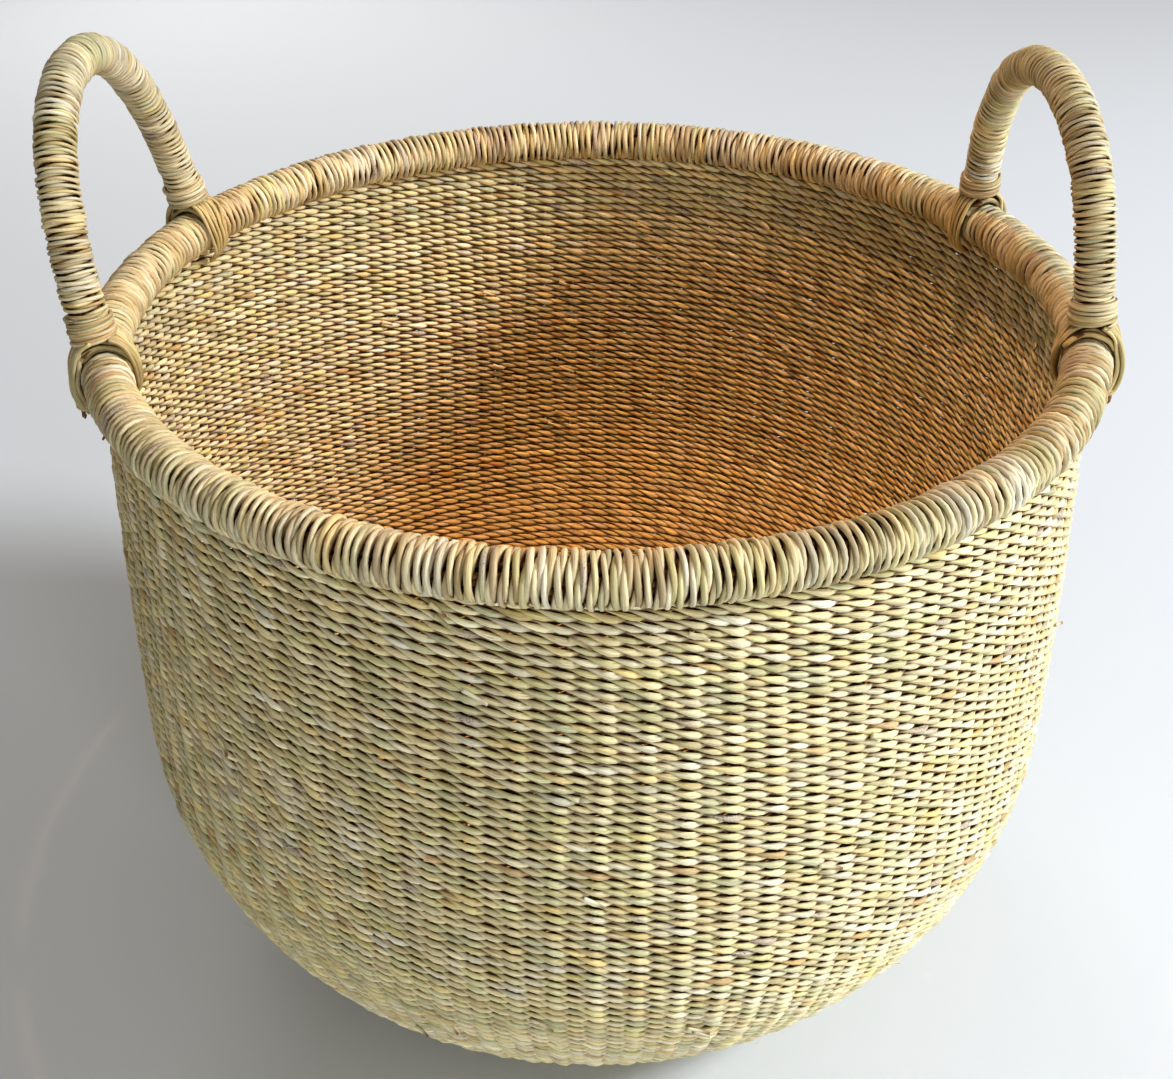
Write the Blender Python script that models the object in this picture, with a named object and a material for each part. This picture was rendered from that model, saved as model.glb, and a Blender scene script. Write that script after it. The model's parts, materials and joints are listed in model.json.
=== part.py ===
"""Round twined straw storage basket with a wrapped rim roll and two lashed loop handles.

Metres, +Z up. The origin is on the ground under the middle of the base. X runs across the two
handles (the left one at -X), and -Y is the front. Every stem, strand face and lashing is a solid
of its own, and neighbours keep a small gap.
"""

import math

import bmesh
import bpy
from mathutils import Matrix, Vector

# Body, as the outside of the weave
BASE_RADIUS = 0.130
BELLY_RADIUS = 0.2117
BELLY_HEIGHT = 0.135
NECK_RADIUS = 0.2037
BELLY_FULLNESS = 1.54
SHOULDER_POWER = 1.5
CURVE_STEPS = 5
ROUND_SIDES = 48

# Wall and base build-up: outer strands, upright stakes, inner strands
STRAND_FACE = 0.0022
STAKE_LAYER = 0.0030
STAKE_THICKNESS = 0.0016
STAKE_WIDTH = 0.0026
STAKES = 84
HUB_RADIUS = 0.052
WALL = 2 * STRAND_FACE + STAKE_LAYER
GAP = 0.0003

# Rim roll
RIM_RADIUS = 0.200
RIM_HEIGHT = 0.3125
ROLL_RADIUS = 0.0100
ROLL_CORE_RADIUS = 0.0070
SLIT_CLEARANCE = 0.0005
ROLL_SIDES = 10

# Handles: an arch on a straight line between two feet on the rim
HALF_SPAN = math.radians(20.3)
HANDLE_RADIUS = 0.0080
HANDLE_CORE_RADIUS = 0.0050
ARCH_POWER = 2.2
FOOT_HEIGHT = 0.0145
COLLAR_LENGTH = 0.0090
COLLAR_RADIUS = 0.0098
HANDLE_STEPS = 14
HANDLE_SIDES = 8
HANDLES = {
    "left": {"azimuth": math.radians(178.0), "height": 0.100, "lean": math.radians(9.0)},
    "right": {"azimuth": math.radians(6.5), "height": 0.091, "lean": math.radians(-3.0)},
}

# Lashings that straddle the rim at each foot, and the knot that ends the outer one
LASH_INNER_RADIUS = 0.0106
LASH_OUTER_RADIUS = 0.0128
LASH_HALF_WIDTH = 0.0080
LASH_START = math.radians(80.0)
LASH_END = math.radians(-48.0)
LASH_STEPS = 6
KNOT_OUT = 0.0087
KNOT_DROP = 0.0138
KNOT_SIZE = (0.0036, 0.0050, 0.0040)

STRAW = (0.66, 0.50, 0.27, 1.0)
STRAW_SHADED = (0.50, 0.33, 0.15, 1.0)
STEM = (0.56, 0.40, 0.20, 1.0)


def straw_material(name, colour, roughness):
    """A Principled material for one piece."""
    material = bpy.data.materials.new(name + "_straw")
    material.use_nodes = True
    shader = material.node_tree.nodes["Principled BSDF"]
    shader.inputs["Base Color"].default_value = colour
    shader.inputs["Roughness"].default_value = roughness
    shader.inputs["Metallic"].default_value = 0.0
    return material


def finish_piece(bm, name, colour, roughness=0.6, parent=None):
    """Turn a bmesh into a named, smooth-shaded object with its own material."""
    bmesh.ops.recalc_face_normals(bm, faces=bm.faces)
    mesh = bpy.data.meshes.new(name)
    bm.to_mesh(mesh)
    bm.free()
    mesh.shade_smooth()
    mesh.set_sharp_from_angle(angle=math.radians(40))
    mesh.materials.append(straw_material(name, colour, roughness))
    piece = bpy.data.objects.new(name, mesh)
    bpy.context.scene.collection.objects.link(piece)
    piece.parent = parent
    return piece


def skin(bm, ring, next_ring):
    """Join two rings of vertices, point to point, with a band of quads."""
    for i in range(len(ring)):
        j = (i + 1) % len(ring)
        bm.faces.new((ring[i], ring[j], next_ring[j], next_ring[i]))


def lofted(bm, rings, closed=False):
    """Skin a row of rings. A closed row joins its last ring to its first, others get flat ends."""
    made = [[bm.verts.new(point) for point in ring] for ring in rings]
    for ring, next_ring in zip(made, made[1:]):
        skin(bm, ring, next_ring)
    if closed:
        skin(bm, made[-1], made[0])
    else:
        bm.faces.new(made[0])
        bm.faces.new(made[-1])


def spun(bm, outline):
    """Turn a closed outline of (radius, height) points all the way round Z."""
    verts = [bm.verts.new((radius, 0.0, height)) for radius, height in outline]
    edges = [bm.edges.new((a, b)) for a, b in zip(verts, verts[1:] + verts[:1])]
    bmesh.ops.spin(
        bm, geom=edges, cent=(0, 0, 0), axis=(0, 0, 1), angle=2 * math.pi,
        steps=ROUND_SIDES, use_merge=True, use_duplicate=False,
    )


# Body


def outside_profile():
    """(radius, height) points up the outside of the wall, from the base's edge to the rim."""
    points = []
    for step in range(CURVE_STEPS + 1):
        angle = math.pi / 2 * step / CURVE_STEPS
        swell = math.sin(angle) ** BELLY_FULLNESS
        radius = BASE_RADIUS + GAP + (BELLY_RADIUS - BASE_RADIUS - GAP) * swell
        points.append(Vector((radius, BELLY_HEIGHT * (1 - math.cos(angle)))))
    top = RIM_HEIGHT - ROLL_CORE_RADIUS - 2 * GAP
    for share in (0.5, 1.0):
        radius = BELLY_RADIUS - (BELLY_RADIUS - NECK_RADIUS) * share ** SHOULDER_POWER
        points.append(Vector((radius, BELLY_HEIGHT + (top - BELLY_HEIGHT) * share)))
    return points


def wall_line(depth):
    """The wall's profile moved in by depth from its outside, square to the surface."""
    outside = outside_profile()
    line = []
    for i, point in enumerate(outside):
        if i == 0:
            shift = Vector((0.0, depth))
        elif i == len(outside) - 1:
            shift = Vector((-depth, 0.0))
        else:
            before = (point - outside[i - 1]).normalized()
            after = (outside[i + 1] - point).normalized()
            along = (before + after).normalized()
            shift = Vector((-along.y, along.x)) * (depth / along.dot(before))
        line.append(point + shift)
    return line


def strand_faces():
    """The woven strands' outer and inner faces, in the base and in the wall."""
    for side, low in (("outer", 0.0), ("inner", STRAND_FACE + STAKE_LAYER)):
        high = low + STRAND_FACE
        colour = STRAW if side == "outer" else STRAW_SHADED
        wall = bmesh.new()
        spun(wall, wall_line(low) + wall_line(high)[::-1])
        finish_piece(wall, "wall_weave_" + side, colour)
        base = bmesh.new()
        bmesh.ops.create_cone(
            base, cap_ends=True, segments=ROUND_SIDES, radius1=BASE_RADIUS, radius2=BASE_RADIUS,
            depth=STRAND_FACE, matrix=Matrix.Translation((0, 0, (low + high) / 2)),
        )
        finish_piece(base, "base_weave_" + side, colour)


def stake_cage():
    """Stakes that cross in the middle of the base and run out and up to the rim, as one cage."""
    depths = [WALL / 2 - STAKE_THICKNESS / 2, WALL / 2 + STAKE_THICKNESS / 2]
    faces = [[Vector((HUB_RADIUS, depth))] + wall_line(depth) for depth in depths]
    sections = []
    for lower, upper in zip(*faces):
        sections.append([
            Vector((point.x, side * STAKE_WIDTH / 2, point.y))
            for point, side in ((lower, -1), (lower, 1), (upper, 1), (upper, -1))
        ])
    bm = bmesh.new()
    roots = []
    for stake in range(STAKES):
        turn = Matrix.Rotation(2 * math.pi * (stake + 0.5) / STAKES, 3, "Z")
        rings = [[bm.verts.new(turn @ corner) for corner in section] for section in sections]
        for ring, next_ring in zip(rings, rings[1:]):
            skin(bm, ring, next_ring)
        bm.faces.new(rings[-1])
        roots.append(rings[0])
    for root, next_root in zip(roots, roots[1:] + roots[:1]):
        bm.faces.new((root[1], next_root[0], next_root[3], root[2]))
    bm.faces.new([corner for root in roots for corner in root[:2]])
    bm.faces.new([corner for root in roots for corner in (root[3], root[2])])
    finish_piece(bm, "stakes", STEM)


# Rim


def roll_point(radius, angle):
    """A (radius, height) point round the rim roll's centre, with angle 0 pointing outwards."""
    return (RIM_RADIUS + radius * math.cos(angle), RIM_HEIGHT + radius * math.sin(angle))


def rim_roll():
    """The straw bundle in the rim, and the wrap round it, slit below where the wall enters."""
    core = bmesh.new()
    turns = [2 * math.pi * (i + 0.5) / ROLL_SIDES for i in range(ROLL_SIDES)]
    spun(core, [roll_point(ROLL_CORE_RADIUS, angle) for angle in turns])
    finish_piece(core, "rim_core", STEM)
    wrap = bmesh.new()
    outline = []
    bore_radius = (ROLL_CORE_RADIUS + GAP) / math.cos(math.pi / ROLL_SIDES)
    for radius, order in ((ROLL_RADIUS, 1), (bore_radius, -1)):
        slit = math.asin((WALL / 2 + SLIT_CLEARANCE) / radius)
        sweep = 2 * (math.pi - slit)
        angles = [slit - math.pi / 2 + sweep * i / ROLL_SIDES for i in range(ROLL_SIDES + 1)]
        outline += [roll_point(radius, angle) for angle in angles[::order]]
    spun(wrap, outline)
    finish_piece(wrap, "rim_wrap", STRAW)


# Handles


def arch_point(handle, turn):
    """A point on a handle's centre line, for turn from 0 at the +Y foot to pi at the other."""
    half_span = RIM_RADIUS * math.sin(HALF_SPAN)
    across = math.copysign(abs(math.cos(turn)) ** (2 / ARCH_POWER), math.cos(turn))
    up = abs(math.sin(turn)) ** (2 / ARCH_POWER)
    return Vector((0.0, half_span * across, handle["height"] * up))


def turn_at_height(handle, height):
    """The turn at which the centre line leaves the +Y foot and reaches a height."""
    return math.asin((height / handle["height"]) ** (ARCH_POWER / 2))


def arch_rings(handle, radius, first, last, steps):
    """Rings round a stretch of a handle's centre line."""
    rings = []
    for step in range(steps + 1):
        turn = first + (last - first) * step / steps
        centre = arch_point(handle, turn)
        along = (arch_point(handle, turn + 0.01) - arch_point(handle, turn - 0.01)).normalized()
        aside = Vector((1.0, 0.0, 0.0))
        inward = along.cross(aside)
        angles = [2 * math.pi * (i + 0.5) / HANDLE_SIDES for i in range(HANDLE_SIDES)]
        rings.append([centre + radius * (math.cos(a) * aside + math.sin(a) * inward) for a in angles])
    return rings


def sleeve(bm, handle, radii, first, last, steps):
    """An open-ended tube round a stretch of a handle's centre line."""
    inside = arch_rings(handle, min(radii), first, last, steps)
    outside = arch_rings(handle, max(radii), first, last, steps)
    lofted(bm, outside + inside[::-1], closed=True)


def loop_handle(side, handle):
    """One handle about an empty on its hinge line: core, wrap and a collar above each foot."""
    hinge = bpy.data.objects.new("hinge_" + side, None)
    bpy.context.scene.collection.objects.link(hinge)
    chord = RIM_RADIUS * math.cos(HALF_SPAN)
    azimuth = handle["azimuth"]
    hinge.location = (chord * math.cos(azimuth), chord * math.sin(azimuth), RIM_HEIGHT)
    hinge.rotation_euler = (0.0, handle["lean"], azimuth)

    start = turn_at_height(handle, FOOT_HEIGHT)
    core = bmesh.new()
    lofted(core, arch_rings(handle, HANDLE_CORE_RADIUS, start, math.pi - start, HANDLE_STEPS))
    finish_piece(core, "handle_%s_core" % side, STEM, parent=hinge)
    wrap = bmesh.new()
    radii = (HANDLE_CORE_RADIUS + GAP, HANDLE_RADIUS)
    sleeve(wrap, handle, radii, start, math.pi - start, HANDLE_STEPS)
    finish_piece(wrap, "handle_%s_wrap" % side, STRAW, parent=hinge)
    top = turn_at_height(handle, FOOT_HEIGHT + COLLAR_LENGTH)
    for foot, first, last in (("plus_y", start, top), ("minus_y", math.pi - top, math.pi - start)):
        place = foot_name(side, foot)
        collar = bmesh.new()
        sleeve(collar, handle, (HANDLE_RADIUS + 2 * GAP, COLLAR_RADIUS), first, last, 2)
        finish_piece(collar, "collar_" + place, STRAW, parent=hinge)


def foot_name(side, foot):
    """Front is -Y and back is +Y in the world. The left handle's local Y points forwards."""
    forwards = (foot == "minus_y") if side == "right" else (foot == "plus_y")
    return side + ("_front" if forwards else "_back")


# Lashings


def lashing(place, azimuth, part, mirror):
    """A strap that hugs the rim roll on its outer side, or on its inner side when mirrored."""
    rings = []
    for step in range(LASH_STEPS + 1):
        angle = LASH_START + (LASH_END - LASH_START) * step / LASH_STEPS
        angle = math.pi - angle if mirror else angle
        ring = []
        for radius, edge in (
            (LASH_INNER_RADIUS, -1), (LASH_INNER_RADIUS, 1), (LASH_OUTER_RADIUS, 1),
            (LASH_OUTER_RADIUS, -1),
        ):
            distance, height = roll_point(radius, angle)
            turn = azimuth + edge * LASH_HALF_WIDTH / RIM_RADIUS
            ring.append((distance * math.cos(turn), distance * math.sin(turn), height))
        rings.append(ring)
    bm = bmesh.new()
    lofted(bm, rings)
    finish_piece(bm, "lashing_%s_%s" % (place, part), STRAW)


def knot(place, azimuth):
    """The folded end of the outer lashing, a small bead under the rim."""
    bm = bmesh.new()
    bmesh.ops.create_uvsphere(bm, u_segments=8, v_segments=6, radius=1.0)
    bmesh.ops.scale(bm, vec=KNOT_SIZE, verts=bm.verts)
    piece = finish_piece(bm, "knot_" + place, STRAW_SHADED)
    distance = RIM_RADIUS + KNOT_OUT
    piece.location = (
        distance * math.cos(azimuth), distance * math.sin(azimuth), RIM_HEIGHT - KNOT_DROP,
    )
    piece.rotation_euler.z = azimuth


def foot_lashings(side, handle):
    """The straps and knots at both feet of one handle."""
    for foot, sign in (("plus_y", 1), ("minus_y", -1)):
        place = foot_name(side, foot)
        azimuth = handle["azimuth"] + sign * HALF_SPAN
        lashing(place, azimuth, "outer", mirror=False)
        lashing(place, azimuth, "inner", mirror=True)
        knot(place, azimuth)


def build():
    """Clear the scene and make every piece."""
    for old in list(bpy.data.objects):
        bpy.data.objects.remove(old, do_unlink=True)
    strand_faces()
    stake_cage()
    rim_roll()
    for side, handle in HANDLES.items():
        loop_handle(side, handle)
        foot_lashings(side, handle)


build()
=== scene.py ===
"""Looks of a round twined straw basket with a wrapped rim and two lashed loop handles.

Metres, +Z up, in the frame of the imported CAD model. Every strand is a tube of its own: four
strands twine round upright stakes in one long spiral from the middle of the base to the rim, each
in front of two stakes and behind the next two, and two-ply cords wind round the rim roll and the
handles.
"""

import json
import math

import bpy
import numpy as np
from mathutils import Matrix, Vector


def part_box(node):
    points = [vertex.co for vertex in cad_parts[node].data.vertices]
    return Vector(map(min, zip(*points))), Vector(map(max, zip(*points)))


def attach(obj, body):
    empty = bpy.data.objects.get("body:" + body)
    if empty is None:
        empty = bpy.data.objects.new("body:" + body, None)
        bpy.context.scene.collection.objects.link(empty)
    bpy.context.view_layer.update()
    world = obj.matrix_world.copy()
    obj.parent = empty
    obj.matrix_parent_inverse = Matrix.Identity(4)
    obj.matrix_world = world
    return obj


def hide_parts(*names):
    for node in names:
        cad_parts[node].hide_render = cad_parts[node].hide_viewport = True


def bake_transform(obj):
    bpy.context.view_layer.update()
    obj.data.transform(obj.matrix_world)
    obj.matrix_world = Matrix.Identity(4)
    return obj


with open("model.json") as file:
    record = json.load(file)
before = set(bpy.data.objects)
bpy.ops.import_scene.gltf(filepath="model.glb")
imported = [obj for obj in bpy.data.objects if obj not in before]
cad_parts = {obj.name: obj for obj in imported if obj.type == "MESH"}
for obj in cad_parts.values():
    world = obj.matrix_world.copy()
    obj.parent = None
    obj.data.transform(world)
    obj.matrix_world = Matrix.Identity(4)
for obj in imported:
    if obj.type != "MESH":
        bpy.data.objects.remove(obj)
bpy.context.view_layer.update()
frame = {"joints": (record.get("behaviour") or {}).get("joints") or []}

# Overall sizes, most of them read from the frame
BASE_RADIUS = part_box("base_weave_outer")[1].x
BELLY_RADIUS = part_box("wall_weave_outer")[1].x
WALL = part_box("base_weave_inner")[1].z
ROLL_RADIUS = 0.0100
RIM_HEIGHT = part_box("rim_wrap")[1].z - ROLL_RADIUS
RIM_RADIUS = 0.200
FOOT_HEIGHT = 0.0145
TAU = 2 * math.pi

# Wall profile
BELLY_HEIGHT = 0.135
BELLY_FULLNESS = 1.54
SHOULDER_POWER = 1.5
NECK_RADIUS = 0.2037
WALL_TOP = RIM_HEIGHT - 0.0076

# Twined weave
STITCHES = 84
STAKES = 2 * STITCHES
ROW_PITCH = 0.0044
WEAVE_START = 0.016
INNER_RING = 0.030
MIDDLE_RING = 0.075
STRAND_HALF_THICKNESS = 0.0012
SWING_OUT = 0.00180
SWING_IN = 0.00150
STRAND_SKEW = 0.30
STITCH_DROP = 0.95
BACK_PLY_SHARE = 0.74
FATTEST_PLACE = 0.18
FAT_SPREAD = 0.27
WALL_BANDS = 12
STAKE_HALF_WIDTH = 0.0013
STAKE_HALF_DEPTH = 0.0011
CENTRE_START = 0.014
INNER_START = 0.032
OUTER_START = 0.074
CROSS_LEVELS = (0.0024, 0.0050)
CROSS_LANES = 7
CROSS_SPACING = 0.0030
CROSS_REACH = 0.020

# Cords round the rim and the handles
RIM_TURNS = 372
RIM_PLY_RADIUS = 0.00106
HANDLE_PITCH = 0.0024
HANDLE_PLY_RADIUS = 0.00075
HANDLE_CORD_RADIUS = 0.0070
COLLAR_PITCH = 0.0022
COLLAR_TURNS = 4.2
COLLAR_CORD_RADIUS = 0.0084
COLLAR_PLY_RADIUS = 0.00078
RIM_CORD_RADIUS = ROLL_RADIUS - 0.00160
PLY_TWISTS = 1.5
RIM_BUNDLE_RADIUS = 0.0062
HANDLE_BUNDLE_RADIUS = 0.0048
CORE_STRAW_RADIUS = 0.0012
ARCH_POWER = 2.2
HANDLES = {
    "left": {"height": 0.100, "lean": math.radians(9.0)},
    "right": {"height": 0.091, "lean": math.radians(-3.0)},
}

# Strands tied at the handles' feet
LASHING_STRAND = 0.00086
SADDLE_STRAND = 0.00110
FOLD_STRAND = 0.00120
KNOT_STRAND = 0.00085
CUT_END = 0.00080

# Loose ends
SPLICES = 110
FIBRES = 130

# Floor
FLOOR_REACH = 16.0
FLOOR_GAP = 0.0008

# Straw colours and the painted shade's brown, linear
CREAM = (0.77, 0.69, 0.45)
GREENISH = (0.70, 0.66, 0.40)
PALE = (0.82, 0.76, 0.56)
GOLD = (0.73, 0.62, 0.36)
TAN = (0.63, 0.47, 0.26)
LILAC = (0.52, 0.45, 0.40)
BROWN = (0.20, 0.085, 0.030)
STEM = (0.20, 0.11, 0.05)
# Painted shade: the brown that strand sides deep in the weave and under the cords' plies darken to.
PAINTED_SHADE_BROWN = np.array([0.20, 0.085, 0.035])
# Lift levels between which the painted shade fades out, in the wall and in the cords.
WALL_SHADE_DEPTHS = (0.0005, 0.0018)
CORD_SHADE_DEPTHS = (-0.0007, 0.0006)
CORD_TONE = np.array([0.86, 0.85, 0.86])
LASHING_TONE = np.array([0.98, 0.90, 0.78])
LEAF_COLOURS = np.array([CREAM, GREENISH, PALE, GOLD, TAN])
LEAF_SHARES = (0.48, 0.25, 0.17, 0.08, 0.02)


# Strand tubes


class Strands:
    """Strand tubes gathered into one mesh, with a colour and a grain direction at every point."""

    def __init__(self, sides):
        self.sides = sides
        self.count = 0
        self.points = []
        self.quads = []
        self.caps = []
        self.tones = []
        self.marks = []
        self.grain = []

    def add(self, centres, across, outward, along, tones, marks, offset, lift=None, deep=None):
        """One tube. across and outward are the section's half axes at each centre.

        Where a lift is given, the sides that lie deeper than deep's two levels darken to brown: painted
        shade in the weave's gaps and under the cords' plies.
        """
        number = len(centres)
        turn = TAU * np.arange(self.sides) / self.sides
        cos, sin = np.cos(turn)[None, :, None], np.sin(turn)[None, :, None]
        rings = centres[:, None, :] + across[:, None, :] * cos + outward[:, None, :] * sin
        self.points.append(rings.reshape(-1, 3))
        row = np.arange(number - 1)[:, None] * self.sides + self.count
        here = row + np.arange(self.sides)[None, :]
        beside = row + (np.arange(self.sides)[None, :] + 1) % self.sides
        quads = np.stack([here, beside, beside + self.sides, here + self.sides], axis=-1)
        self.quads.append(quads.reshape(-1, 4))
        first = self.count + np.arange(self.sides)[::-1]
        last = self.count + (number - 1) * self.sides + np.arange(self.sides)
        self.caps += [first, last]
        self.marks.append(np.repeat(marks, self.sides))
        width = np.linalg.norm(across, axis=1)[:, None] * np.cos(turn)[None, :]
        depth = np.linalg.norm(outward, axis=1)[:, None] * np.sin(turn)[None, :]
        shades = np.repeat(tones[:, None, :], self.sides, axis=1)
        # Painted shade: sides that lie deep in the wall or under the other ply darken towards brown.
        if lift is not None:
            level = lift[:, None] + depth
            level = np.abs(level) if deep[0] >= 0 else level
            unshaded_share = np.clip((level - deep[0]) / (deep[1] - deep[0]), 0.0, 1.0)[:, :, None]
            shades = shades * (PAINTED_SHADE_BROWN + (1.0 - PAINTED_SHADE_BROWN) * unshaded_share)
        self.tones.append(shades.reshape(-1, 3))
        length = np.repeat(along[:, None], self.sides, axis=1)
        grain = np.stack([length, width + offset, depth + 0.37 * offset], axis=-1)
        self.grain.append(grain.reshape(-1, 3))
        self.count += number * self.sides

    def piece(self, name, material):
        """The gathered tubes as one smooth-shaded object."""
        points = np.concatenate(self.points).astype(np.float32)
        quads = np.concatenate(self.quads)
        caps = np.array(self.caps)
        corners = np.concatenate([quads.ravel(), caps.ravel()]).astype(np.int32)
        starts = np.concatenate([
            4 * np.arange(len(quads)),
            4 * len(quads) + self.sides * np.arange(len(caps)),
        ]).astype(np.int32)
        mesh = bpy.data.meshes.new(name)
        mesh.vertices.add(len(points))
        mesh.vertices.foreach_set("co", points.ravel())
        mesh.loops.add(len(corners))
        mesh.loops.foreach_set("vertex_index", corners)
        mesh.polygons.add(len(starts))
        mesh.polygons.foreach_set("loop_start", starts)
        mesh.update(calc_edges=True)
        tones = np.concatenate(self.tones)
        tones = np.concatenate([tones, np.ones((len(tones), 1))], axis=1).astype(np.float32)
        mesh.attributes.new("tone", "FLOAT_COLOR", "POINT").data.foreach_set("color", tones.ravel())
        marks = np.concatenate(self.marks).astype(np.float32)
        mesh.attributes.new("marks", "FLOAT", "POINT").data.foreach_set("value", marks)
        grain = np.concatenate(self.grain).astype(np.float32)
        mesh.attributes.new("grain", "FLOAT_VECTOR", "POINT").data.foreach_set("vector", grain.ravel())
        mesh.shade_smooth()
        mesh.validate()
        mesh.materials.append(material)
        piece = bpy.data.objects.new(name, mesh)
        bpy.context.scene.collection.objects.link(piece)
        return piece


def unit(vectors):
    """Vectors scaled to length one."""
    return vectors / np.linalg.norm(vectors, axis=-1, keepdims=True)


def section(centres, outward, half_width, half_depth):
    """The half axes of a strand's section: across the strand, and outwards square to it."""
    along = unit(np.gradient(centres, axis=0))
    across = unit(np.cross(along, outward))
    square = np.cross(across, along)
    half_width = np.broadcast_to(half_width, len(centres))[:, None]
    half_depth = np.broadcast_to(half_depth, len(centres))[:, None]
    return across * half_width, square * half_depth


def travelled(centres):
    """The distance along a line of points, from its start."""
    steps = np.linalg.norm(np.diff(centres, axis=0), axis=1)
    return np.concatenate([[0.0], np.cumsum(steps)])


def wobble(rng, stations, spacing, size):
    """Smooth random change along a strand, with one random value every spacing."""
    low, high = stations.min(), stations.max()
    knots = np.arange(low - spacing, high + 2 * spacing, spacing)
    return size * np.interp(stations, knots, rng.standard_normal(len(knots)))


def leaf_tones(rng, along, leaf_length, patch_length, brown=0.0):
    """Colours along a strand twisted from many leaves, and where its spotted patches are.

    Brown is the share of leaves that are part brown.
    """
    total = along[-1] + 2 * leaf_length
    ends = np.cumsum(rng.uniform(0.4, 1.6, int(total / leaf_length * 1.4) + 4)) * leaf_length
    leaf = np.searchsorted(ends, along)
    kinds = rng.choice(len(LEAF_COLOURS), len(ends) + 1, p=LEAF_SHARES)
    tones = LEAF_COLOURS[kinds[leaf]].copy()
    browned = (rng.random(len(ends) + 1) < brown)[leaf]
    tones[browned] = 0.45 * tones[browned] + 0.45 * np.array(TAN)
    light = 1.0 + rng.normal(0.0, 0.05, len(ends) + 1)[leaf] + wobble(rng, along, patch_length, 0.07)
    warmth = wobble(rng, along, 2.3 * patch_length, 0.05)
    tones *= light[:, None]
    tones *= 1.0 + warmth[:, None] * np.array([0.5, 0.0, -1.4])[None, :]
    patches = wobble(rng, along, 1.3 * patch_length, 1.0)
    marks = np.clip((patches - 1.7) * 2.5, 0.0, 1.0)
    tones += marks[:, None] * 0.75 * (np.array(LILAC)[None, :] - tones)
    return np.clip(tones, 0.02, 0.93), marks


# Wall


def wall_line():
    """Arc length, radius, height and outward normal up the middle of the wall's thickness."""
    flat = np.linspace(0.0, BASE_RADIUS, 120, endpoint=False)
    rise = np.linspace(0.0, math.pi / 2, 160, endpoint=False)
    share = np.linspace(0.0, 1.0, 120)
    swell = (BELLY_RADIUS - BASE_RADIUS) * np.sin(rise) ** BELLY_FULLNESS
    radius = np.concatenate([
        flat,
        BASE_RADIUS + swell,
        BELLY_RADIUS - (BELLY_RADIUS - NECK_RADIUS) * share ** SHOULDER_POWER,
    ])
    height = np.concatenate([
        0.0 * flat,
        BELLY_HEIGHT * (1 - np.cos(rise)),
        BELLY_HEIGHT + (WALL_TOP - BELLY_HEIGHT) * share,
    ])
    outside = np.stack([radius, height], axis=1)
    along = unit(np.gradient(outside, axis=0))
    normal = np.stack([along[:, 1], -along[:, 0]], axis=1)
    middle = outside - normal * WALL / 2
    kernel = np.hanning(11) / np.hanning(11).sum()
    for column in range(2):
        middle[5:-5, column] = np.convolve(middle[:, column], kernel, mode="valid")
    along = unit(np.gradient(middle, axis=0))
    normal = np.stack([along[:, 1], -along[:, 0]], axis=1)
    return travelled(middle), middle[:, 0], middle[:, 1], normal[:, 0], normal[:, 1]


LINE = wall_line()
WEAVE_END = LINE[0][-1] - 0.0005
ROWS = (WEAVE_END - WEAVE_START) / ROW_PITCH + 1.0


def on_wall(distance, azimuth, lift):
    """Points at a distance up the wall line and a lift off its middle, and the outward normals."""
    arc, radius, height, out, up = LINE
    distance = np.clip(distance, arc[0], arc[-1])
    across = np.interp(distance, arc, out)
    rise = np.interp(distance, arc, up)
    reach = np.interp(distance, arc, radius) + lift * across
    points = np.stack([
        reach * np.cos(azimuth),
        reach * np.sin(azimuth),
        np.interp(distance, arc, height) + lift * rise,
    ], axis=1)
    normals = np.stack([across * np.cos(azimuth), across * np.sin(azimuth), rise], axis=1)
    return points, normals


def stake_sway(azimuth, distance):
    """How far the stakes lean off their even spacing, in shares of that spacing."""
    rng = np.random.default_rng(11)
    sway = 0.0
    for waves in (2, 3, 5, 7, 11):
        climb = rng.uniform(8.0, 30.0) * rng.choice([-1, 1])
        sway = sway + 0.05 * np.sin(waves * azimuth + climb * distance + rng.uniform(0, TAU))
    return sway


def twined_strand(strands, rng, ply, first, last, spokes, samples):
    """One of four strands that twine round the stakes, from row first to row last.

    A stitch is the part of a strand in front of two stakes, or behind two. Its place runs from
    -0.5 where it comes out of the wall to +0.5 where it goes back in, lower down. The strands at
    half plies stand less proud of the wall than the other two.
    """
    number = int((last - first) * spokes * samples) + 2
    turns = np.linspace(first, last, number)
    azimuth = TAU * turns
    climb = WEAVE_START + ROW_PITCH * turns
    stitch = spokes * turns + ply + stake_sway(azimuth, climb)
    stitch = stitch + wobble(rng, stitch, 1.0, 0.03)
    place = np.arcsin(0.995 * np.sin(math.pi * stitch)) / math.pi
    proud = 1.0 if ply % 1 == 0 else BACK_PLY_SHARE
    swing = np.cos(math.pi * stitch) + STRAND_SKEW * np.sin(TAU * stitch)
    reach = np.where(swing > 0, SWING_OUT, SWING_IN)
    lift = proud * swing * reach * (1.0 + wobble(rng, stitch, 1.0, 0.08))
    stray = wobble(rng, stitch, 1.7, 0.00014)
    points, normals = on_wall(climb - ROW_PITCH * STITCH_DROP * place + stray, azimuth, lift)
    plump = 1.0 + wobble(rng, stitch, 1.0, 0.08)
    fat = np.exp(-((place - FATTEST_PLACE) / FAT_SPREAD) ** 2)
    half_width = ROW_PITCH * (0.17 + 0.19 * fat) * plump * (0.5 + 0.5 * proud)
    half_depth = STRAND_HALF_THICKNESS * (0.72 + 0.28 * fat) * plump
    across, outward = section(points, normals, half_width, half_depth)
    along = travelled(points)
    tones, marks = leaf_tones(rng, along, 0.22, 0.018)
    # The lift also sets where the strand's sides are darkened with painted shade.
    strands.add(points, across, outward, along, tones, marks, rng.uniform(0, 9), lift, WALL_SHADE_DEPTHS)


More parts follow.
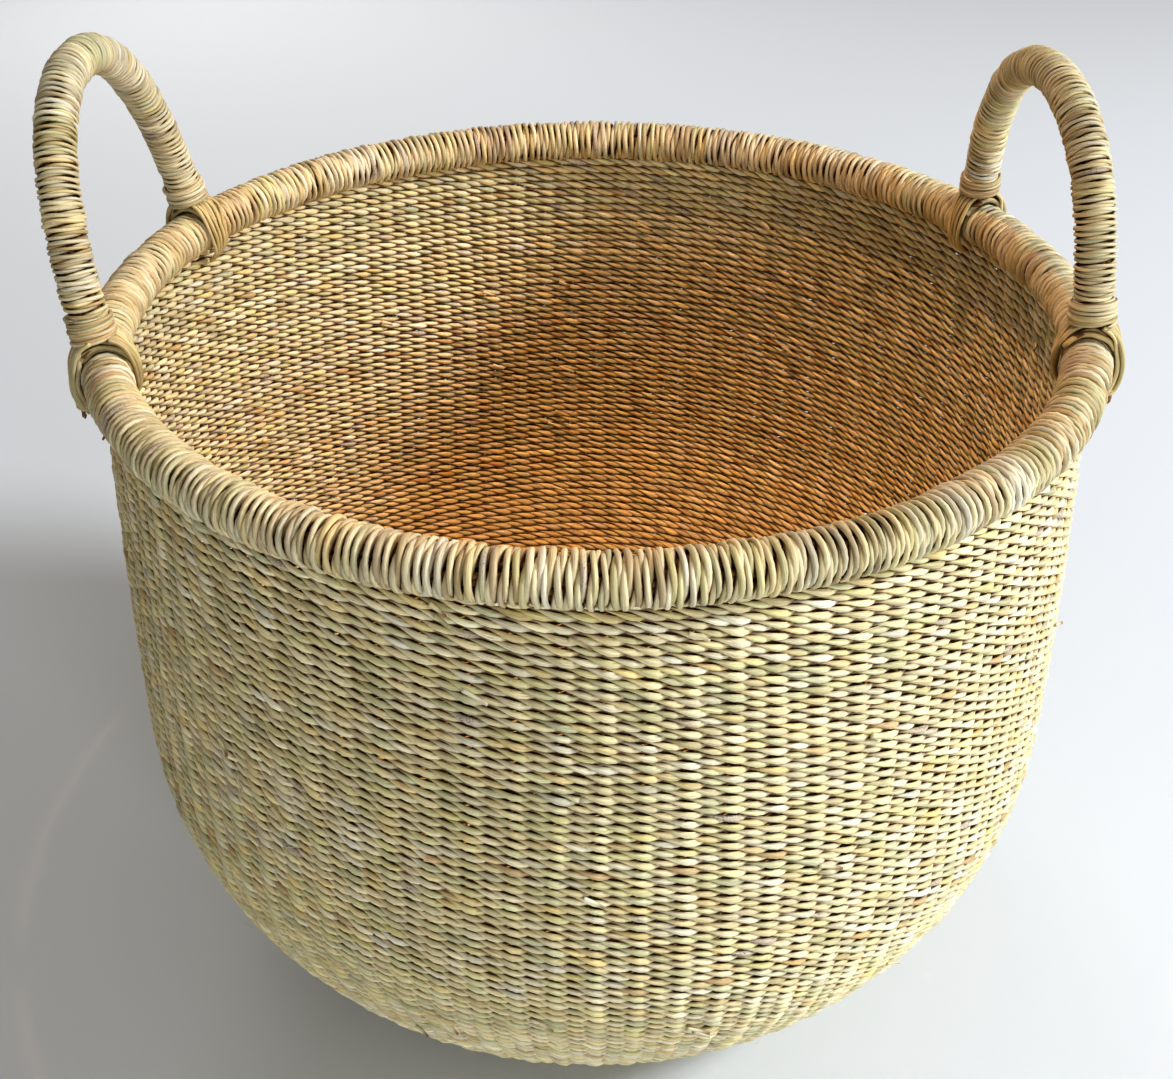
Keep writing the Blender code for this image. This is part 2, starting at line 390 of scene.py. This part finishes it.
def weave_band(name, material, parts, sides):
    """A stretch of the weave. Each part is its first and last row, stakes and samples a stitch."""
    strands = Strands(sides)
    rng = np.random.default_rng(sum(map(ord, name)))
    for first, last, spokes, samples in parts:
        for ply in (0, 0.5, 1, 1.5):
            twined_strand(strands, rng, ply, first, last, spokes, samples)
    return strands.piece(name, material)


def stake_rods(material):
    """The stakes. Three in four stop at the base's outer ring, and one in eight goes on to its middle."""
    strands = Strands(5)
    rng = np.random.default_rng(5)
    for stake in range(STAKES):
        start = CENTRE_START if stake % 8 == 0 else (INNER_START if stake % 4 == 0 else OUTER_START)
        distance = np.linspace(start, WEAVE_END, 60)
        upright = TAU * stake / STAKES + 0 * distance
        azimuth = TAU * ((stake + 0.5) / 2 - stake_sway(upright, distance)) / STITCHES
        points, normals = on_wall(distance, azimuth, 0.0 * distance)
        across, outward = section(points, normals, STAKE_HALF_WIDTH, STAKE_HALF_DEPTH)
        tone = np.array(STEM) * rng.uniform(0.7, 1.3)
        tones = np.repeat(tone[None, :], len(points), axis=0)
        strands.add(points, across, outward, travelled(points), tones, 0 * distance, stake * 0.1)
    return strands.piece("stake_rods", material)


def base_cross(material):
    """Two layers of stakes that cross in the middle of the base."""
    strands = Strands(6)
    rng = np.random.default_rng(6)
    for layer, level in enumerate(CROSS_LEVELS):
        for lane in range(CROSS_LANES):
            offset = (lane - CROSS_LANES // 2) * CROSS_SPACING
            run = np.linspace(-CROSS_REACH, CROSS_REACH, 14)
            bow = level + 0.0004 * np.cos(run * 300 + lane)
            pair = (run, offset + 0.0 * run) if layer else (offset + 0.0 * run, run)
            points = np.stack([pair[0], pair[1], bow], axis=1)
            up = np.tile([0.0, 0.0, 1.0], (len(run), 1))
            across, outward = section(points, up, 0.0016, 0.0013)
            along = travelled(points)
            tones, marks = leaf_tones(rng, along, 0.1, 0.01)
            strands.add(points, across, outward, along, tones, marks, lane + 3.0 * layer)
    return strands.piece("base_cross", material)


# Cords


def rim_axis(distance):
    """Centre, aside, up and forward directions along the rim roll's centre line."""
    azimuth = distance / RIM_RADIUS
    zero = 0 * azimuth
    aside = np.stack([np.cos(azimuth), np.sin(azimuth), zero], axis=1)
    centre = RIM_RADIUS * aside + np.array([0.0, 0.0, RIM_HEIGHT])
    up = np.stack([zero, zero, zero + 1], axis=1)
    forward = np.stack([-np.sin(azimuth), np.cos(azimuth), zero], axis=1)
    return centre, aside, up, forward


class Arch:
    """A loop handle's centre line, on the hinge line through its two feet."""

    def __init__(self, side):
        joint = next(j for j in frame["joints"] if j["name"] == side + "_handle_lean")
        hinge = Vector(joint["pos_m"])
        self.azimuth = math.atan2(hinge.y, hinge.x)
        self.half_span = math.sqrt(RIM_RADIUS ** 2 - hinge.x ** 2 - hinge.y ** 2)
        self.height = HANDLES[side]["height"]
        turn = Matrix.Rotation(self.azimuth, 3, "Z") @ Matrix.Rotation(HANDLES[side]["lean"], 3, "Y")
        self.axes = np.array(turn)
        self.hinge = np.array(hinge)
        sweep = np.linspace(0.0, math.pi, 600)
        across = np.sign(np.cos(sweep)) * np.abs(np.cos(sweep)) ** (2 / ARCH_POWER)
        rise = np.abs(np.sin(sweep)) ** (2 / ARCH_POWER)
        self.line = np.stack([0 * sweep, self.half_span * across, self.height * rise], axis=1)
        self.arc = travelled(self.line)
        foot = np.searchsorted(self.line[:300, 2], FOOT_HEIGHT)
        self.start = self.arc[foot]
        self.end = self.arc[-1] - self.start

    def axis(self, distance):
        """Centre, aside, inner and forward directions along the handle."""
        local = np.stack([np.interp(distance, self.arc, self.line[:, i]) for i in range(3)], axis=1)
        ahead = np.stack([
            np.interp(distance + 0.002, self.arc, self.line[:, i])
            - np.interp(distance - 0.002, self.arc, self.line[:, i]) for i in range(3)
        ], axis=1)
        forward = unit(ahead) @ self.axes.T
        aside = np.tile(self.axes[:, 0], (len(distance), 1))
        inner = np.cross(forward, aside)
        return self.hinge + local @ self.axes.T, aside, inner, forward


def wind(strands, rng, axis, start, pitch, turns, radius, ply_radius, twists, samples, lift,
         width=1.1, brown=0.08, taper=False):
    """Two-ply cord wound round an axis. Lift is how far the plies climb over each other."""
    turn = np.linspace(0.0, turns, int(turns * samples) + 1)
    angle = TAU * turn
    crowd = wobble(rng, turn, 0.45, 0.075) + wobble(rng, turn, 4.0, 0.08)
    distance = start + pitch * (turn + crowd)
    drift = wobble(rng, turn, 6.0, 1.8) + wobble(rng, turn, 1.0, 0.5)
    swell = 1.0 + wobble(rng, turn, 0.6, 0.07)
    bulge = wobble(rng, turn, 0.6, 0.00016)
    centre, aside, up, forward = axis(distance)
    outward = np.cos(angle)[:, None] * aside + np.sin(angle)[:, None] * up
    for ply in (0, 1):
        phase = twists * angle + drift + math.pi * ply
        rise = bulge + lift * ply_radius * np.sin(phase)
        sideways = pitch * 0.26 * np.cos(phase)
        points = centre + outward * (radius + rise)[:, None] + forward * sideways[:, None]
        own = swell * (1.0 + wobble(rng, turn, 0.45, 0.09))
        if taper:
            own = own * np.clip(8 * np.minimum(turn, turns - turn) + 0.25, 0.25, 1.0)
        across, thick = section(points, outward, width * ply_radius * own, ply_radius * own)
        along = travelled(points)
        tones, marks = leaf_tones(rng, along, 0.16, 0.02, brown)
        tones = CORD_TONE * tones
        # The plies' rise sets where their sides are darkened with painted shade.
        strands.add(points, across, thick, along, tones, marks, rng.uniform(0, 9), rise, CORD_SHADE_DEPTHS)


def rim_cord(material):
    """The cord wound round the rim roll."""
    strands = Strands(6)
    pitch = TAU * RIM_RADIUS / RIM_TURNS
    rng = np.random.default_rng(21)
    wind(strands, rng, rim_axis, 0.0, pitch, RIM_TURNS, RIM_CORD_RADIUS, RIM_PLY_RADIUS, PLY_TWISTS, 18,
         lift=0.75, brown=0.16)
    return strands.piece("rim_cord", material)


def straw_bundle(name, material, axis, start, end, radius, straws, straw_radius, steps, twist):
    """Straws laid side by side round an axis, with a slow twist."""
    strands = Strands(5)
    rng = np.random.default_rng(straws)
    distance = np.linspace(start, end, steps)
    centre, aside, up, forward = axis(distance)
    for straw in range(straws):
        angle = TAU * straw / straws + twist * (distance - start) + wobble(rng, distance, 0.05, 0.1)
        outward = np.cos(angle)[:, None] * aside + np.sin(angle)[:, None] * up
        points = centre + outward * radius
        across, thick = section(points, outward, straw_radius * 1.2, straw_radius)
        tones = np.repeat((np.array(STEM) * rng.uniform(0.8, 1.5))[None, :], steps, axis=0)
        strands.add(points, across, thick, travelled(points), tones, 0 * distance, straw * 0.7)
    return strands.piece(name, material)


def handle_cord(side, arch, material):
    """The cord wound round one handle."""
    strands = Strands(6)
    turns = (arch.end - arch.start) / HANDLE_PITCH
    rng = np.random.default_rng(31 + len(side))
    wind(strands, rng, arch.axis, arch.start, HANDLE_PITCH, turns, HANDLE_CORD_RADIUS,
         HANDLE_PLY_RADIUS, PLY_TWISTS, 22, lift=0.7)
    return strands.piece("handle_%s_cord" % side, material)


def collar_cord(place, arch, at_start, material):
    """Four tight turns of cord round the foot of a handle."""
    strands = Strands(6)
    first = arch.start if at_start else arch.end - COLLAR_TURNS * COLLAR_PITCH
    rng = np.random.default_rng(41 + len(place))
    wind(strands, rng, arch.axis, first, COLLAR_PITCH, COLLAR_TURNS, COLLAR_CORD_RADIUS,
         COLLAR_PLY_RADIUS, 0.7, 26, lift=0.4, taper=True)
    return strands.piece("collar_%s_cord" % place, material)


# Lashings


def smooth_route(stops, number):
    """A smooth line through listed stops."""
    stops = np.array(stops, float)
    padded = np.concatenate([[2 * stops[0] - stops[1]], stops, [2 * stops[-1] - stops[-2]]])
    place = np.linspace(0, len(stops) - 1 - 1e-9, number)
    index = place.astype(int)
    t = (place - index)[:, None]
    a, b, c, d = (padded[index + i] for i in range(4))
    return 0.5 * (2 * b + (c - a) * t + (2 * a - 5 * b + 4 * c - d) * t ** 2
                  + (3 * b - a - 3 * c + d) * t ** 3)


class Foot:
    """Where a handle's foot meets the rim, with its outward, along and up directions."""

    def __init__(self, arch, sign):
        azimuth = arch.azimuth + sign * math.asin(arch.half_span / RIM_RADIUS)
        self.out = np.array([math.cos(azimuth), math.sin(azimuth), 0.0])
        self.beside = np.array([-math.sin(azimuth), math.cos(azimuth), 0.0])
        self.up = np.array([0.0, 0.0, 1.0])
        self.centre = RIM_RADIUS * self.out + RIM_HEIGHT * self.up

    def place(self, points):
        """Points given as out, beside and up distances."""
        return self.centre + points @ np.stack([self.out, self.beside, self.up])


def loose_strand(strands, rng, foot, stops, radius, tone=None, flat=1.0, number=36, point=False,
                 stray=0.0):
    """A strand along stops in a foot's own directions. Stray is how far it wanders sideways."""
    run = np.linspace(0, 1, number)
    route = smooth_route(stops, number)
    route = route + np.stack([
        wobble(rng, run, 0.22, 0.5 * stray),
        wobble(rng, run, 0.22, stray),
        0 * run,
    ], axis=1)
    points = foot.place(route)
    facing = route * np.array([1.0, 0.15, 1.0])
    outward = unit(facing) @ np.stack([foot.out, foot.beside, foot.up])
    size = np.full(number, radius) * (1 + wobble(rng, run, 0.2, 0.10))
    if point:
        size = size * np.clip(np.linspace(5, 0.15, number), 0, 1)
    across, thick = section(points, outward, size * flat, size / flat)
    along = travelled(points)
    tones, marks = leaf_tones(rng, along, 0.08, 0.01)
    tones = tones * LASHING_TONE * rng.uniform(0.62, 0.95)
    if tone is not None:
        tones = tones * 0.15 + np.array(tone) * 0.85
    strands.add(points, across, thick, along, tones, marks, rng.uniform(0, 9))


def outer_lashing(foot, rng, name, material):
    """Strands from under the collar that hang over the outside of the rim and fold back up."""
    strands = Strands(6)
    for lane in range(15):
        under = lane // 5
        spread = (lane % 5 - 2 + 0.5 * (under % 2)) * 0.0023
        stand = rng.uniform(-0.0004, 0.0006) - 0.0011 * under
        stops = [
            (0.0035, 1.3 * spread, 0.0158), (0.0086 + 0.5 * stand, 1.25 * spread, 0.0124),
            (0.0119 + stand, 1.1 * spread, 0.0062), (0.0134 + stand, 0.9 * spread, -0.0012),
            (0.0131 + stand, 0.65 * spread, -0.0085), (0.0110 + 0.5 * stand, 0.4 * spread, -0.0146),
        ]
        if lane % 2:
            stops += [(0.0094, 0.3 * spread, -0.0160), (0.0084, 0.4 * spread, -0.0120)]
        loose_strand(strands, rng, foot, stops, LASHING_STRAND, stray=0.0006)
    return strands.piece(name, material)


def inner_lashing(foot, rng, name, material):
    """Strands from under the collar that run down the inside of the rim into the wall."""
    strands = Strands(6)
    for lane in range(8):
        under = lane // 4
        spread = (lane % 4 - 1.5 + 0.5 * under) * 0.0026
        stand = rng.uniform(-0.0002, 0.0005) - 0.0012 * under
        stops = [
            (-0.0030, 1.3 * spread, 0.0158), (-0.0080 - 0.5 * stand, 1.3 * spread, 0.0124),
            (-0.0113 - stand, 1.15 * spread, 0.0060), (-0.0123 - stand, 0.9 * spread, -0.0018),
            (-0.0104, 0.6 * spread, -0.0088), (-0.0055, 0.35 * spread, -0.0135),
        ]
        loose_strand(strands, rng, foot, stops, LASHING_STRAND, stray=0.0005)
    for lane in range(6):
        beside = (lane - 2.5) * 0.0023
        crest = 0.0121 + 0.0016 * math.cos(0.55 * (lane - 2.5))
        saddle = [
            (0.0098, 0.8 * beside, 0.0062), (0.0062, 0.95 * beside, 0.0104),
            (0.0, beside + rng.uniform(-0.0006, 0.0006), crest),
            (-0.0062, 0.95 * beside, 0.0104), (-0.0098, 0.8 * beside, 0.0062),
        ]
        shade = TAN if lane % 3 == 1 else None
        loose_strand(strands, rng, foot, saddle, SADDLE_STRAND, tone=shade, stray=0.0005)
    fold = [
        (-0.0060, -0.0066, 0.0112), (-0.0030, -0.0030, 0.0124), (0.0010, 0.0010, 0.0126),
        (0.0045, 0.0040, 0.0118), (0.0070, 0.0070, 0.0100),
    ]
    loose_strand(strands, rng, foot, fold, FOLD_STRAND, tone=BROWN, flat=1.9)
    return strands.piece(name, material)


def knot(foot, rng, name, material):
    """The lashing's tied end: two turns round the fold, and two cut ends."""
    strands = Strands(6)
    sweep = np.linspace(0, 2.3 * TAU, 40)
    stops = [
        (0.0100 + 0.0030 * math.cos(a), 0.0030 * math.sin(a), -0.0112 - 0.0011 * a / TAU)
        for a in sweep
    ]
    loose_strand(strands, rng, foot, stops, KNOT_STRAND, number=90)
    for lean in (-1, 1):
        end = [
            (0.0108, 0.0006 * lean, -0.0130), (0.0116, 0.0014 * lean, -0.0155),
            (0.0113, 0.0026 * lean, -0.0182),
        ]
        loose_strand(strands, rng, foot, end, CUT_END, tone=BROWN, number=12, point=True)
    return strands.piece(name, material)


# Ends and fibres


def splice_ends(material):
    """Cut ends of leaves that poke out of the weave where a new one was added."""
    strands = Strands(6)
    rng = np.random.default_rng(51)
    for _ in range(SPLICES):
        row = rng.uniform(0.4, 0.985) * ROWS
        side = rng.choice([-1.0, 1.0])
        azimuth = rng.uniform(0, TAU)
        length = rng.uniform(0.004, 0.009)
        run = np.linspace(0, 1, 9)
        turn = azimuth + side * run * length / 0.2
        climb = WEAVE_START + ROW_PITCH * row - 0.35 * length * run
        lift = side * (0.0030 + 0.0022 * run ** 1.5)
        points, normals = on_wall(climb, turn, lift)
        size = 0.00085 * (1 - 0.35 * run) * rng.uniform(0.7, 1.2)
        across, outward = section(points, normals, 1.3 * size, 0.8 * size)
        along = travelled(points)
        tones, marks = leaf_tones(rng, along, 0.1, 0.01)
        cut = np.clip((run - 0.55) / 0.4, 0, 1)[:, None] * rng.choice([0.2, 0.9])
        tones = tones * (1 - cut) + np.array(BROWN)[None, :] * cut
        strands.add(points, across, outward, along, tones, marks, rng.uniform(0, 9))
    return strands.piece("splice_ends", material)


def stray_fibres(material):
    """Thin fibres that stand off the weave and the rim."""
    strands = Strands(4)
    rng = np.random.default_rng(61)
    for _ in range(FIBRES):
        row = rng.uniform(0.3, 1.0) * ROWS
        side = rng.choice([-1.0, 1.0])
        azimuth = rng.uniform(0, TAU)
        length = rng.uniform(0.006, 0.020)
        run = np.linspace(0, 1, 10)
        turn = azimuth + rng.choice([-1, 1]) * run * length / 0.2
        climb = WEAVE_START + ROW_PITCH * row + rng.uniform(-0.6, 0.4) * length * run
        lift = side * (0.0032 + rng.uniform(0.0005, 0.0035) * run ** 2)
        points, normals = on_wall(climb, turn, lift)
        across, outward = section(points, normals, 0.00013, 0.00010)
        tones = np.tile(np.array(PALE), (len(run), 1))
        strands.add(points, across, outward, travelled(points), tones, 0 * run, rng.uniform(0, 9))
    return strands.piece("stray_fibres", material)


# Materials


def link(tree, source, output, target, socket):
    """Joins two nodes."""
    tree.links.new(source.outputs[output], target.inputs[socket])


def straw_material(name, roughness, relief, streaks):
    """Dry straw: leaf colours from the strands, lengthwise fibres, thin dark lines of painted shade in
    the fibres' grooves, and spots.
    """
    material = bpy.data.materials.new(name)
    material.use_nodes = True
    tree = material.node_tree
    shader = tree.nodes["Principled BSDF"]
    shader.inputs["Roughness"].default_value = roughness
    shader.inputs["Specular IOR Level"].default_value = 0.42

    tone = tree.nodes.new("ShaderNodeAttribute")
    tone.attribute_name = "tone"
    marks = tree.nodes.new("ShaderNodeAttribute")
    marks.attribute_name = "marks"
    grain = tree.nodes.new("ShaderNodeAttribute")
    grain.attribute_name = "grain"

    def noise(stretch, detail, name):
        """Noise that runs along the strand."""
        mapping = tree.nodes.new("ShaderNodeMapping")
        mapping.inputs["Scale"].default_value = stretch
        texture = tree.nodes.new("ShaderNodeTexNoise")
        texture.label = name
        texture.inputs["Scale"].default_value = 1.0
        texture.inputs["Detail"].default_value = detail
        texture.inputs["Roughness"].default_value = 0.6
        link(tree, grain, "Vector", mapping, "Vector")
        link(tree, mapping, "Vector", texture, "Vector")
        return texture

    def remap(source, output, low, high, to_low, to_high):
        """A value moved from one range to another."""
        node = tree.nodes.new("ShaderNodeMapRange")
        node.inputs["From Min"].default_value = low
        node.inputs["From Max"].default_value = high
        node.inputs["To Min"].default_value = to_low
        node.inputs["To Max"].default_value = to_high
        link(tree, source, output, node, "Value")
        return node

    def blend_colour(factor, output, mode, first, second):
        """Two colours mixed. Each is a node's colour output or a fixed colour."""
        node = tree.nodes.new("ShaderNodeMix")
        node.data_type = "RGBA"
        node.blend_type = mode
        if factor is None:
            node.inputs[0].default_value = 1.0
        else:
            tree.links.new(factor.outputs[output], node.inputs[0])
        for socket, colour in ((6, first), (7, second)):
            if isinstance(colour, tuple):
                node.inputs[socket].default_value = colour + (1.0,)
            else:
                tree.links.new(colour, node.inputs[socket])
        return node

    fibres = noise((150.0, 2600.0, 2600.0), 3.0, "fibres")
    broad = noise((40.0, 700.0, 700.0), 2.0, "blades")
    spots = noise((1500.0, 2200.0, 2200.0), 1.0, "spots")

    streak = remap(fibres, "Fac", 0.30, 0.70, 1.0 - streaks, 1.0 + 0.6 * streaks)
    blade = remap(broad, "Fac", 0.35, 0.65, 0.86, 1.10)
    both = tree.nodes.new("ShaderNodeMath")
    both.operation = "MULTIPLY"
    link(tree, streak, "Result", both, 0)
    link(tree, blade, "Result", both, 1)
    toned = blend_colour(None, None, "MULTIPLY", tone.outputs["Color"], both.outputs[0])
    # Painted shade: thin dark lines where the fibre noise is lowest, in the grooves of the bump.
    thin = remap(fibres, "Fac", 0.36, 0.28, 0.0, 0.55)
    crease_shaded = blend_colour(thin, "Result", "MIX", toned.outputs[2], (0.36, 0.20, 0.08))
    dots = remap(spots, "Fac", 0.60, 0.66, 0.0, 0.8)
    spotted = tree.nodes.new("ShaderNodeMath")
    spotted.operation = "MULTIPLY"
    link(tree, dots, "Result", spotted, 0)
    link(tree, marks, "Fac", spotted, 1)
    speckled = blend_colour(spotted, "Value", "MIX", crease_shaded.outputs[2], (0.10, 0.07, 0.06))
    tree.links.new(speckled.outputs[2], shader.inputs["Base Color"])

    rough = remap(broad, "Fac", 0.3, 0.7, roughness - 0.10, roughness + 0.12)
    link(tree, rough, "Result", shader, "Roughness")
    bump = tree.nodes.new("ShaderNodeBump")
    bump.inputs["Strength"].default_value = relief
    bump.inputs["Distance"].default_value = 0.0003
    height = tree.nodes.new("ShaderNodeMath")
    height.operation = "ADD"
    link(tree, fibres, "Fac", height, 0)
    link(tree, broad, "Fac", height, 1)
    link(tree, height, "Value", bump, "Height")
    link(tree, bump, "Normal", shader, "Normal")
    return material


def floor_material():
    """A matt pale floor."""
    material = bpy.data.materials.new("pale_floor")
    material.use_nodes = True
    tree = material.node_tree
    shader = tree.nodes["Principled BSDF"]
    shader.inputs["Roughness"].default_value = 0.75
    texture = tree.nodes.new("ShaderNodeTexNoise")
    texture.inputs["Scale"].default_value = 3.0
    ramp = tree.nodes.new("ShaderNodeValToRGB")
    ramp.color_ramp.elements[0].color = (0.70, 0.74, 0.79, 1.0)
    ramp.color_ramp.elements[1].color = (0.74, 0.78, 0.83, 1.0)
    link(tree, texture, "Fac", ramp, "Fac")
    link(tree, ramp, "Color", shader, "Base Color")
    return material


# Stage


def area_light(name, place, aim, size, power, colour):
    """A soft light at a place, turned to aim at a point."""
    light = bpy.data.lights.new(name, "AREA")
    light.shape = "DISK"
    light.size = size
    light.energy = power
    light.color = colour
    lamp = bpy.data.objects.new(name, light)
    lamp.location = place
    lamp.rotation_euler = (Vector(aim) - Vector(place)).to_track_quat("-Z", "Y").to_euler()
    bpy.context.scene.collection.objects.link(lamp)


def warm_light(place, aim, cone, power, colour):
    """A soft lamp over the opening. All but its cone's soft edge ends inside the basket."""
    light = bpy.data.lights.new("warm", "SPOT")
    light.spot_size = cone
    light.spot_blend = 0.15
    light.shadow_soft_size = 0.03
    light.energy = power
    light.color = colour
    lamp = bpy.data.objects.new("warm", light)
    lamp.location = place
    lamp.rotation_euler = (Vector(aim) - Vector(place)).to_track_quat("-Z", "Y").to_euler()
    bpy.context.scene.collection.objects.link(lamp)


def studio():
    """Floor, lamps, world and camera."""
    bpy.context.scene.view_settings.view_transform = "Standard"
    bpy.context.scene.view_settings.look = "High Contrast"
    mesh = bpy.data.meshes.new("floor")
    corners = [(-1, -1, 0), (1, -1, 0), (1, 1, 0), (-1, 1, 0)]
    mesh.from_pydata([(FLOOR_REACH * x, FLOOR_REACH * y, z) for x, y, z in corners], [], [(0, 1, 2, 3)])
    mesh.materials.append(floor_material())
    floor = bpy.data.objects.new("floor", mesh)
    floor.location.z = -FLOOR_GAP
    bpy.context.scene.collection.objects.link(floor)

    middle = (0.0, 0.0, 0.18)
    area_light("key", (2.60, -0.35, 2.00), middle, 0.85, 73.0, (0.97, 0.98, 1.0))
    area_light("front", (0.75, -1.70, 0.62), middle, 0.45, 8.0, (0.96, 1.0, 1.0))
    area_light("back", (-0.70, 1.90, 0.90), middle, 1.00, 6.0, (1.0, 0.97, 0.93))
    warm_light((0.0, 0.0, 1.00), (0.0, 0.0, 0.0), math.radians(31.5), 23.0, (1.0, 0.53, 0.29))

    world = bpy.data.worlds.new("studio")
    bpy.context.scene.world = world
    world.use_nodes = True
    world.node_tree.nodes["Background"].inputs["Color"].default_value = (1.0, 0.92, 0.83, 1.0)
    world.node_tree.nodes["Background"].inputs["Strength"].default_value = 0.28

    camera = bpy.data.cameras.new("camera")
    camera.sensor_width = 36.0
    camera.lens = 46.04
    viewer = bpy.data.objects.new("camera", camera)
    viewer.location = (0.0017, -0.580, 0.587)
    viewer.rotation_euler = (math.radians(55.7), 0.0, math.radians(0.55))
    bpy.context.scene.collection.objects.link(viewer)
    bpy.context.scene.camera = viewer


# Assembly


def settle(piece, body, slot, *nodes):
    """The piece rides on a body and stands for CAD nodes. The slot is not used."""
    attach(piece, body)
    if nodes:
        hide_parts(*nodes)


def body_pieces(straw, stems):
    """Weave, stakes and rim."""
    line_at_base = np.interp(BASE_RADIUS, LINE[1][:120], LINE[0][:120])
    edges = [(edge - WEAVE_START) / ROW_PITCH for edge in (INNER_RING, MIDDLE_RING, line_at_base)]
    base = weave_band("weave_base", straw, [
        (0.0, edges[0], STITCHES // 4, 6),
        (edges[0], edges[1], STITCHES // 2, 6),
    ], 5)
    settle(base, "basket", "weave_straw_inside", "base_weave_outer", "base_weave_inner")
    ring = weave_band("weave_base_ring", straw, [(edges[1], edges[2], STITCHES, 4)], 5)
    settle(ring, "basket", "weave_straw_inside")
    cuts = np.linspace(edges[2], ROWS, WALL_BANDS + 1)
    for number, (first, last) in enumerate(zip(cuts, cuts[1:])):
        band = weave_band("weave_wall_%d" % (number + 1), straw, [(first, last, STITCHES, 6)], 6)
        nodes = ("wall_weave_outer", "wall_weave_inner") if number == 0 else ()
        settle(band, "basket", "weave_straw", *nodes)
    settle(stake_rods(stems), "basket", "stake_straw", "stakes")
    settle(base_cross(straw), "basket", "stake_straw")
    settle(rim_cord(straw), "basket", "rim_straw", "rim_wrap")
    core = straw_bundle("rim_core_straws", stems, rim_axis, 0.0, TAU * RIM_RADIUS, RIM_BUNDLE_RADIUS, 14,
                        CORE_STRAW_RADIUS, 220, 12.0)
    settle(core, "basket", "rim_straw", "rim_core")
    settle(splice_ends(straw), "basket", "weave_straw")
    settle(stray_fibres(straw), "basket", "weave_straw")


def handle_pieces(side, straw, stems):
    """One handle's cord, core and collars, and the lashings at its feet."""
    arch = Arch(side)
    body = "handle_" + side
    settle(handle_cord(side, arch, straw), body, "handle_straw", body + "_wrap")
    core = straw_bundle(body + "_core_straws", stems, arch.axis, arch.start, arch.end,
                        HANDLE_BUNDLE_RADIUS, 11, CORE_STRAW_RADIUS, 70, 30.0)
    settle(core, body, "handle_straw", body + "_core")
    for sign in (1, -1):
        forwards = (sign == -1) if side == "right" else (sign == 1)
        place = side + ("_front" if forwards else "_back")
        collar = collar_cord(place, arch, sign == 1, straw)
        settle(collar, body, "handle_straw", "collar_" + place)
        foot = Foot(arch, sign)
        rng = np.random.default_rng(71 + 2 * sign + len(side))
        for part, build in (("outer", outer_lashing), ("inner", inner_lashing)):
            name = "lashing_%s_%s" % (place, part)
            lashing = build(foot, rng, name + "_strands", straw)
            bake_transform(lashing)
            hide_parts(name)
        settle(knot(foot, rng, "knot_%s_tie" % place, straw), "basket", "knot_straw", "knot_" + place)


def build():
    """Every piece of the basket and its stage."""
    straw = straw_material("dry_straw", 0.52, 0.55, 0.20)
    stems = straw_material("brown_stems", 0.70, 0.40, 0.30)
    body_pieces(straw, stems)
    for side in HANDLES:
        handle_pieces(side, straw, stems)
    studio()


build()
